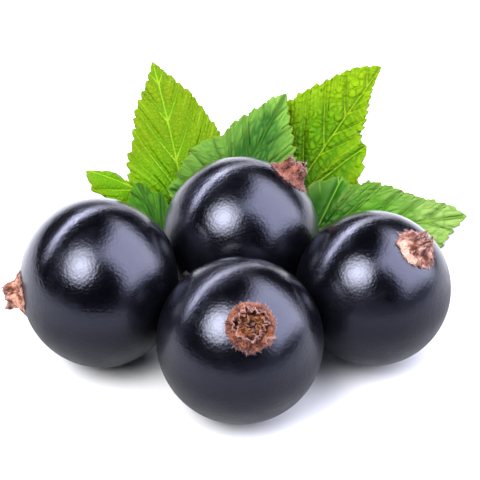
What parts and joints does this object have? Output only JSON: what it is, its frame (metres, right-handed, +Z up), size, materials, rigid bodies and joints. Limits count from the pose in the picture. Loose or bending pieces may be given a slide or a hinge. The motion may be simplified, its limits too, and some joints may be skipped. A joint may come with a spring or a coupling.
{
  "type": "blackcurrant sprig",
  "caption": "Picked blackcurrant sprig lying down: glossy black berries with dried flower ends, a short woody twig and small toothed lobed leaves.",
  "frame": {"origin": "middle of the sprig's footprint, on the plane that the berries rest on", "axes": "+Z up; +Y from the front berry towards the leaf tips; +X towards the right berry"},
  "size_m": [0.0368, 0.0394, 0.0127],
  "materials": {
    "berry_skin": "blue-black skin, satin gloss under a thin waxy bloom",
    "dried_flower": "withered and felted, matte",
    "leaf_yellow_green": "fresh yellow-green blade with pale yellow veins, soft sheen",
    "leaf_mid_green": "green blade, paler at its tip, soft sheen",
    "leaf_dark_green": "bluish green blade with pale green veins, soft sheen",
    "stem_bark": "young green stalks and brown twig bark, matte"
  },
  "bodies": {
    "root": {"berry_left": "berry_skin", "dried_flower_left": "dried_flower", "berry_back": "berry_skin", "dried_flower_back": "dried_flower", "berry_front": "berry_skin", "dried_flower_front": "dried_flower", "berry_right": "berry_skin", "dried_flower_right": "dried_flower", "leaf_upper_left": "leaf_yellow_green", "leaf_small": "leaf_dark_green", "leaf_centre": "leaf_dark_green", "leaf_upper_right": "leaf_yellow_green", "leaf_lower_right": "leaf_mid_green", "stem": "stem_bark"}
  },
  "joints": []
}
